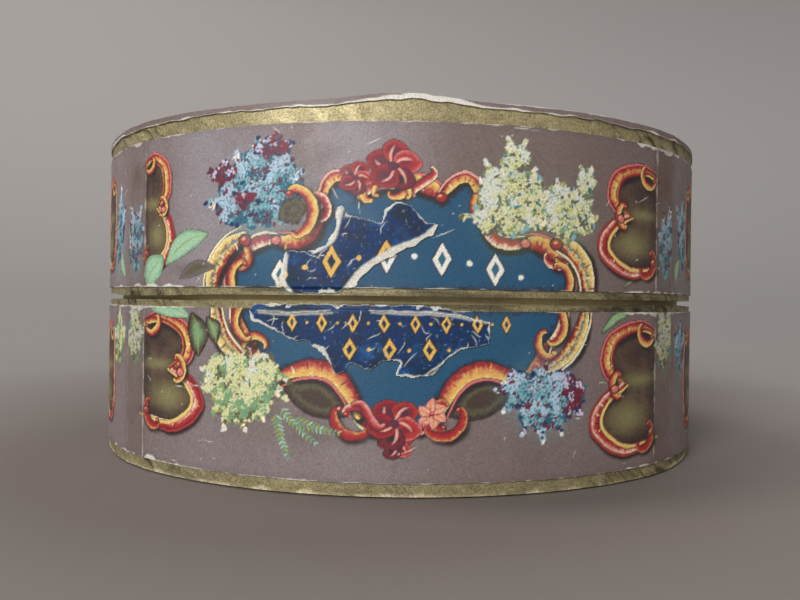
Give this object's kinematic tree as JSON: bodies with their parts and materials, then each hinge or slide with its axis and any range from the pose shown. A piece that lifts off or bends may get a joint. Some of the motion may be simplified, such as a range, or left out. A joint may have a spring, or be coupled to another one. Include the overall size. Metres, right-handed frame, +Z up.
{
  "type": "powder box",
  "caption": "Low paper-covered cardboard powder box, cushion-shaped in plan, with gold paper edgings, a tall inner neck and a lift-off lid.",
  "frame": {"origin": "under the middle of the base, on the surface that it stands on", "axes": "+Z up through the middle of the lid, -Y towards the front with the torn seal label, +X to the right seen from the front"},
  "size_m": [0.086, 0.0862, 0.0408],
  "materials": {
    "card": "raw pulp board",
    "lining_paper": "aged matte",
    "neck_paper": "worn gold-coated paper, half sheen",
    "bottom_paper": "aged matte",
    "gold_paper": "rubbed gold-bronzed paper, half sheen",
    "printed_paper": "printed in many colours, slight varnish",
    "seal_paper": "crackled dark blue coating"
  },
  "bodies": {
    "base": {"bottom_paper": "bottom_paper", "bottom_board": "card", "base_wall_card": "card", "base_floor_paper": "lining_paper", "neck_card": "card", "neck_cover_paper": "neck_paper", "neck_lining_paper": "lining_paper", "base_foot_gold_edging": "gold_paper", "base_rim_gold_edging": "gold_paper", "base_litho_wrap": "printed_paper", "base_seal_label": "seal_paper"},
    "lid": {"lid_top_board": "card", "lid_wall_card": "card", "lid_wall_lining": "lining_paper", "lid_ceiling_paper": "lining_paper", "lid_crown_gold_edging": "gold_paper", "lid_rim_gold_edging": "gold_paper", "lid_litho_wrap": "printed_paper", "lid_top_sheet": "printed_paper", "lid_seal_label": "seal_paper"}
  },
  "joints": [
    {"name": "lid_lift", "type": "slide", "parent": "base", "child": "lid", "axis": [0, 0, 1], "range_m": [0, 0.05]}
  ]
}
